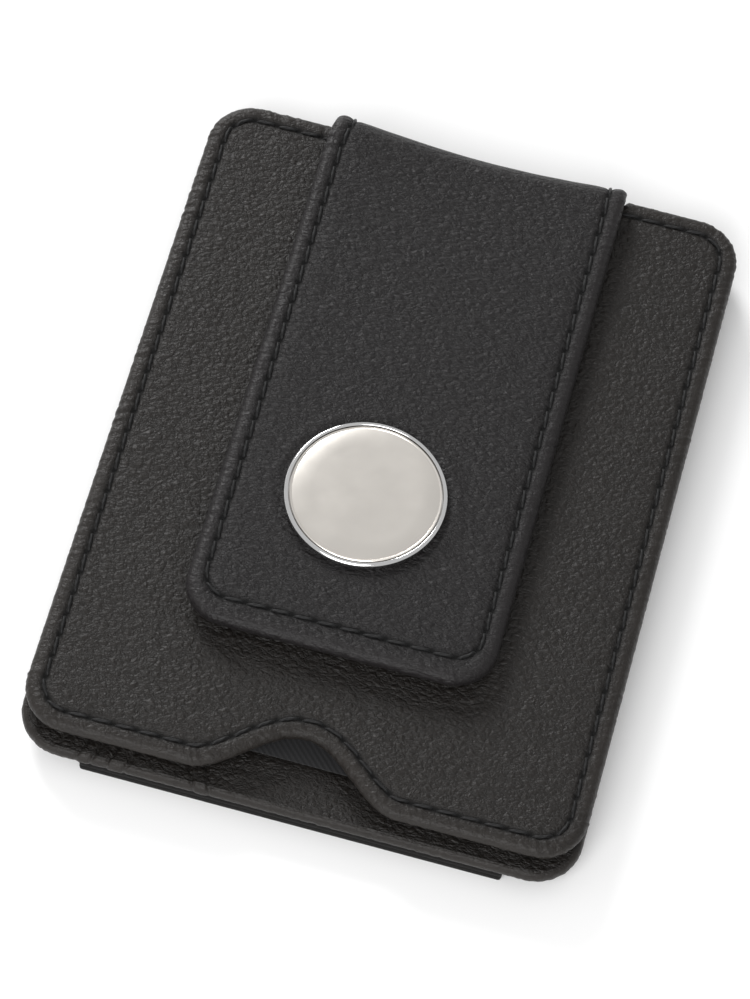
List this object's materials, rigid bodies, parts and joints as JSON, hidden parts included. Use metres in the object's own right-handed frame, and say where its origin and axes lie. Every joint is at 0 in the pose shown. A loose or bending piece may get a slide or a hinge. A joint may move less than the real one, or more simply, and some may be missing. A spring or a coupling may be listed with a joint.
{
  "type": "magnetic money clip wallet",
  "caption": "Flat leather card wallet with a folded magnetic clip flap over its front, a round metal disc on the flap and thumb-notched pockets.",
  "frame": {"origin": "on the surface below the middle of the wallet as it lies on its back", "axes": "+Z out of the front face with the flap on it, +Y to the top edge where the flap folds over, +X to the right seen from the front"},
  "size_m": [0.0762, 0.102, 0.0126],
  "materials": {
    "body_leather": "soft black pebbled leather with a low sheen",
    "flap_leather": "soft charcoal pebbled leather with a low sheen",
    "lining_cloth": "fine black woven lining",
    "grey_board": "grey fibre board",
    "magnet_steel": "nickel-plated magnet",
    "spring_steel": "rolled spring steel",
    "disc_chrome": "bright nickel or chrome plate",
    "disc_satin": "satin blank engraving plate",
    "black_thread": "waxed black thread"
  },
  "bodies": {
    "wallet": {"front_panel": "body_leather", "rear_panel": "body_leather", "rear_pocket_panel": "body_leather", "pocket_welt": "body_leather", "rear_pocket_welt": "body_leather", "flap_anchor": "flap_leather", "front_lining": "lining_cloth", "rear_lining": "lining_cloth", "rear_pocket_lining": "lining_cloth", "front_board": "grey_board", "rear_board": "grey_board", "front_magnet": "magnet_steel", "front_seam_thread": "black_thread", "rear_seam_thread": "black_thread", "rear_pocket_thread": "black_thread"},
    "fold": {"flap_fold": "flap_leather"},
    "flap": {"flap_cover": "flap_leather", "flap_lining": "lining_cloth", "flap_stiffener": "spring_steel", "flap_magnet": "magnet_steel", "flap_seam_thread": "black_thread", "disc_bezel": "disc_chrome", "disc_plate": "disc_satin", "disc_washer": "spring_steel"}
  },
  "joints": [
    {"name": "fold_hinge", "type": "hinge", "parent": "wallet", "child": "fold", "pos_m": [0, 0.04983, 0.00602], "axis": [-1, 0, 0], "range_deg": [0, 85]},
    {"name": "flap_hinge", "type": "hinge", "parent": "fold", "child": "flap", "pos_m": [0, 0.04983, 0.01023], "axis": [-1, 0, 0], "range_deg": [0, 85]}
  ],
  "couplings": [
    {"joint": "fold_hinge", "follows": "flap_hinge", "ratio": 1}
  ]
}
